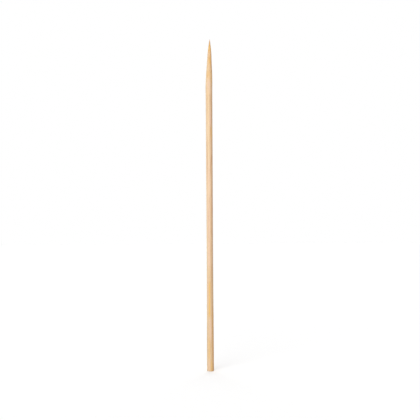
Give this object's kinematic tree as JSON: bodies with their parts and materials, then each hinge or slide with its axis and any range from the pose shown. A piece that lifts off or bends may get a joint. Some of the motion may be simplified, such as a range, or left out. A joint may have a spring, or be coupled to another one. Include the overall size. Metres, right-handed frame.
{
  "type": "bamboo skewer",
  "caption": "Round bamboo stick for threading and holding food, with a long ground point at one end and a square-cut butt at the other.",
  "frame": {"origin": "centre of the flat, square-cut butt end", "axes": "+Z along the shaft's axis, from the butt to the tip; +X towards the side that the ground point leans to"},
  "size_m": [0.0042, 0.0042, 0.2],
  "materials": {
    "bamboo": "bare, smooth, matt bamboo in pale straw, with fine darker strands along the stick and a warmer yellow tip"
  },
  "bodies": {
    "root": {"skewer": "bamboo"}
  },
  "joints": []
}
